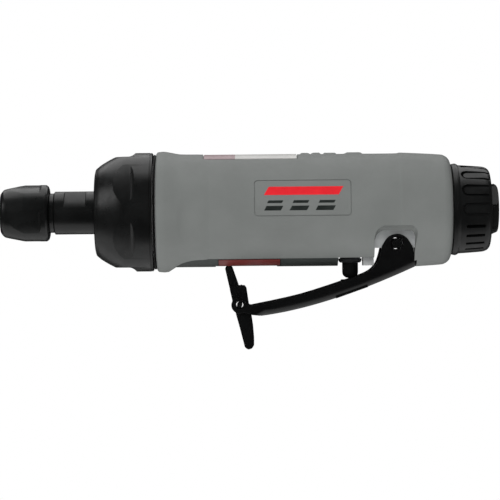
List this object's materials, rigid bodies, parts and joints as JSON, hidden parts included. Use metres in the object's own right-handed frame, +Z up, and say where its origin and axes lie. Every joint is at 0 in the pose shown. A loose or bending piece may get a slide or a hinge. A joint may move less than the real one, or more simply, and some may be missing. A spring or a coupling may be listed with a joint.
{
  "type": "die grinder",
  "caption": "Straight air-driven die grinder with a quarter-inch collet, a round grip, an underside throttle lever with a lock-off latch, and a rear exhaust deflector.",
  "frame": {"origin": "on the spindle axis, under the gripping hand, midway between the collet nut's and the air inlet's end faces", "axes": "+X along the spindle from the collet towards the air inlet, +Z up, away from the throttle lever, +Y across"},
  "size_m": [0.1653, 0.0402, 0.0661],
  "materials": {
    "black_steel": "black oxide, satin",
    "ground_steel": "ground",
    "black_paint": "semi-gloss paint on pressed steel",
    "cast_aluminium": "as cast, machined boss",
    "grey_composite": "fine matt texture",
    "black_plastic": "satin moulded",
    "black_rubber": "matt",
    "cast_iron": "machined",
    "brass": "turned",
    "phenolic": "cloth laminate",
    "gasket_paper": "fibre gasket",
    "felt": "needled felt",
    "label_white": "printed film",
    "label_red": "printed film"
  },
  "bodies": {
    "housing": {"motor_housing": "cast_aluminium", "housing_cover": "grey_composite", "clamp_nut": "black_steel", "cap_ring": "black_rubber", "bearing_spacer": "ground_steel", "front_bearing_outer_race": "ground_steel", "front_end_plate": "cast_iron", "cylinder": "cast_iron", "cylinder_pin": "ground_steel", "rear_end_plate": "cast_iron", "rear_bearing_outer_race": "ground_steel", "rear_gasket": "gasket_paper", "valve_seat": "brass", "valve_spring": "ground_steel", "plunger_bushing": "black_steel", "plunger_seal": "black_rubber", "lever_pin": "black_steel", "inlet_bushing": "black_steel", "inlet_screen": "ground_steel", "deflector_seal": "black_rubber", "muffler_felt": "felt", "top_label": "label_white", "underside_label": "label_red"},
    "rotor": {"rotor": "ground_steel", "rotor_blade_1": "phenolic", "rotor_blade_2": "phenolic", "rotor_blade_3": "phenolic", "rotor_blade_4": "phenolic", "rotor_blade_5": "phenolic", "front_bearing_inner_race": "ground_steel", "rear_bearing_inner_race": "ground_steel", "collet_body": "black_steel"},
    "front_balls": {"front_bearing_cage": "brass"},
    "rear_balls": {"rear_bearing_cage": "brass"},
    "collet": {"collet": "ground_steel"},
    "collet_nut": {"collet_nut": "black_steel"},
    "throttle_lever": {"throttle_lever": "black_paint", "lock_pin": "black_steel", "lock_spring": "ground_steel"},
    "lock_lever": {"lock_lever": "black_paint"},
    "valve_plunger": {"valve_plunger": "black_steel"},
    "throttle_valve": {"throttle_valve": "ground_steel"},
    "exhaust_deflector": {"exhaust_deflector": "black_plastic"}
  },
  "joints": [
    {"name": "spindle_spin", "type": "hinge", "parent": "housing", "child": "rotor", "pos_m": [0, 0, 0], "axis": [1, 0, 0], "continuous": true},
    {"name": "front_balls_roll", "type": "hinge", "parent": "housing", "child": "front_balls", "pos_m": [-0.0413, 0, 0], "axis": [1, 0, 0], "continuous": true},
    {"name": "rear_balls_roll", "type": "hinge", "parent": "housing", "child": "rear_balls", "pos_m": [0.0087, 0, 0], "axis": [1, 0, 0], "continuous": true},
    {"name": "collet_feed", "type": "slide", "parent": "rotor", "child": "collet", "axis": [-1, 0, 0], "range_m": [0, 0.00155]},
    {"name": "collet_nut_turn", "type": "hinge", "parent": "collet", "child": "collet_nut", "pos_m": [-0.075, 0, 0], "axis": [-1, 0, 0], "range_deg": [0, 540]},
    {"name": "throttle_squeeze", "type": "hinge", "parent": "housing", "child": "throttle_lever", "pos_m": [0.0485, 0, -0.0111], "axis": [0, 1, 0], "range_deg": [0, 9], "stiffness_Nm_per_rad": 1.5, "springref_deg": -8.59},
    {"name": "plunger_lift", "type": "slide", "parent": "housing", "child": "valve_plunger", "axis": [0, 0, 1], "range_m": [0, 0.0024]},
    {"name": "valve_tilt", "type": "hinge", "parent": "housing", "child": "throttle_valve", "pos_m": [0.0434, 0, -0.0042], "axis": [0, 1, 0], "range_deg": [0, 14], "deforming": ["valve_spring"]},
    {"name": "lock_fold", "type": "hinge", "parent": "throttle_lever", "child": "lock_lever", "pos_m": [-0.0036, 0, -0.0311], "axis": [0, 1, 0], "range_deg": [0, 94], "deforming": ["lock_spring"]},
    {"name": "deflector_turn", "type": "hinge", "parent": "housing", "child": "exhaust_deflector", "pos_m": [0.0734, 0, 0], "axis": [1, 0, 0], "continuous": true}
  ],
  "couplings": [
    {"joint": "front_balls_roll", "follows": "spindle_spin", "ratio": 0.4},
    {"joint": "rear_balls_roll", "follows": "spindle_spin", "ratio": 0.364},
    {"joint": "collet_feed", "follows": "collet_nut_turn", "m_per_rad": 0.00015915},
    {"joint": "plunger_lift", "follows": "throttle_squeeze", "m_per_rad": 0.015},
    {"joint": "valve_tilt", "follows": "throttle_squeeze", "ratio": 1.5},
    {"joint": "lock_fold", "follows": "throttle_squeeze", "ratio": 10.4}
  ]
}
